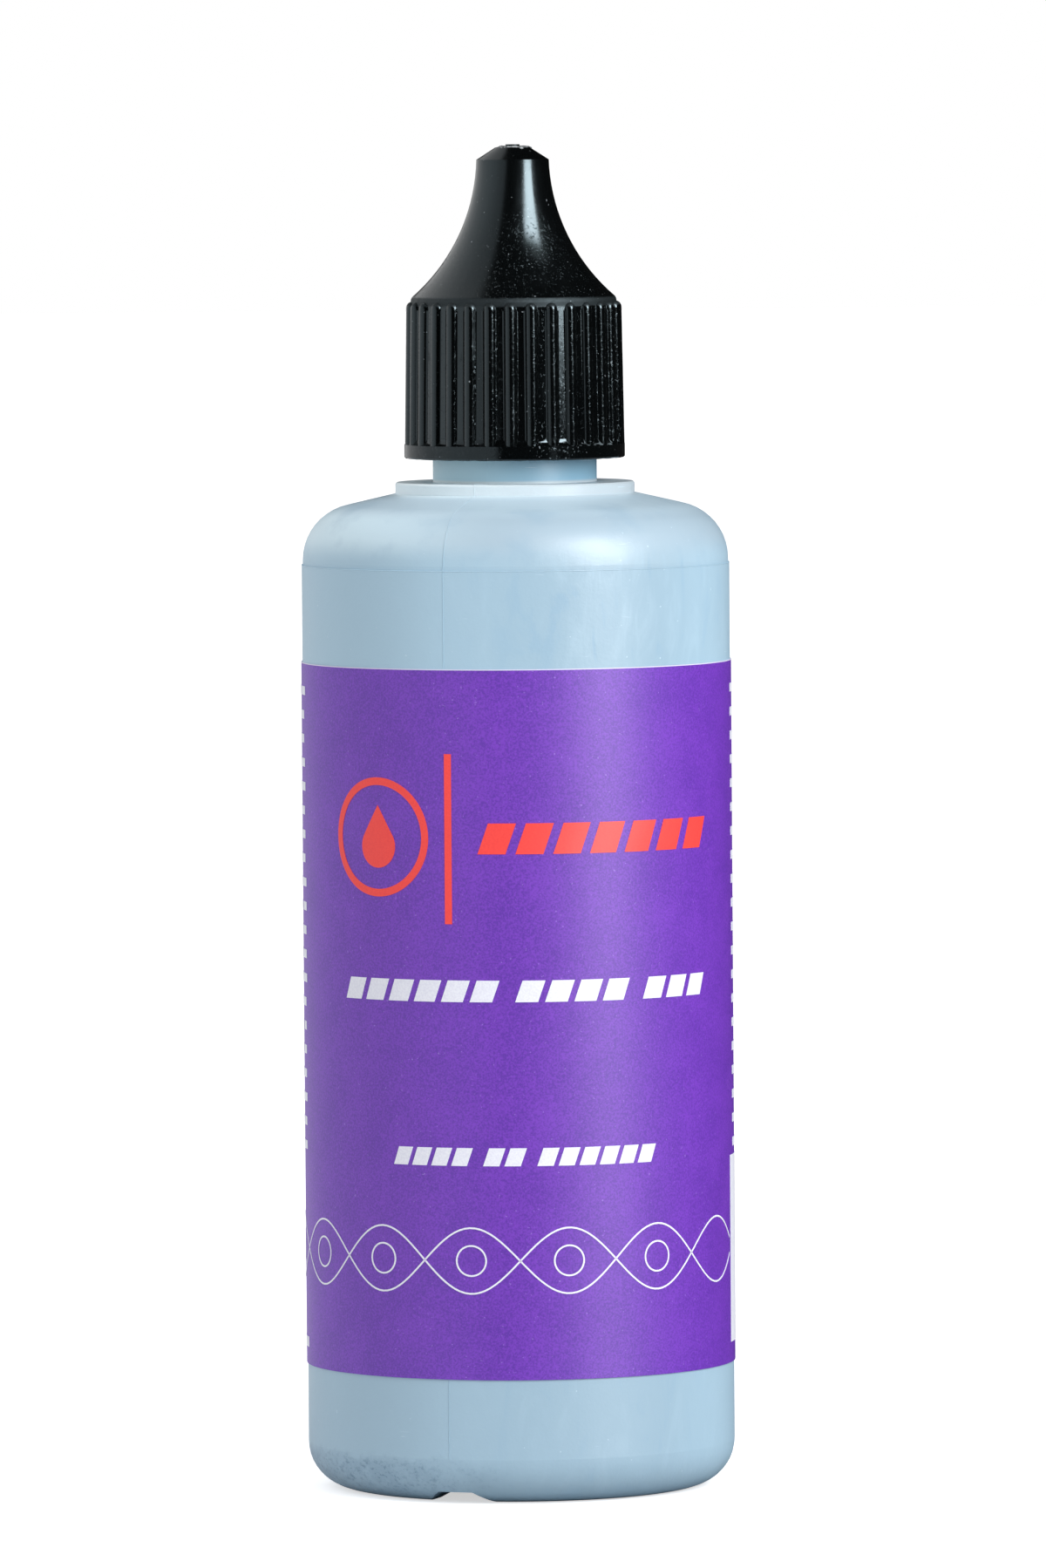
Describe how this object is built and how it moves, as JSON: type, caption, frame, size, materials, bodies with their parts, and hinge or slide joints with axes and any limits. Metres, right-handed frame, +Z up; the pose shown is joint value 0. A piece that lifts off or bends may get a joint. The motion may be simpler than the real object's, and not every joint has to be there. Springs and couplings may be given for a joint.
{
  "type": "chain lubricant bottle",
  "caption": "Small squeeze bottle for bicycle chain wax: blow-moulded body, pressed-in drip nozzle, fluted screw cap with a long bell tip, and a wrap label.",
  "frame": {"origin": "on the ground, on the bottle's axis, under the middle of the base", "axes": "+Z up along the bottle's axis; the front of the label faces -Y"},
  "size_m": [0.0422, 0.0422, 0.1319],
  "materials": {
    "milky_plastic": "milky satin polyethylene, cloudy from the wax film inside",
    "natural_plastic": "natural milky polyethylene, smooth",
    "black_plastic": "glossy moulded polypropylene with fine flow ripples",
    "purple_film": "satin printed film",
    "wax": "milky liquid wax"
  },
  "bodies": {
    "bottle": {"bottle": "milky_plastic", "nozzle_insert": "natural_plastic", "label": "purple_film", "wax_fill": "wax"},
    "cap": {"cap": "black_plastic"}
  },
  "joints": [
    {"name": "cap_lift", "type": "slide", "parent": "bottle", "child": "cap", "axis": [0, 0, 1], "range_m": [0, 0.035]}
  ]
}
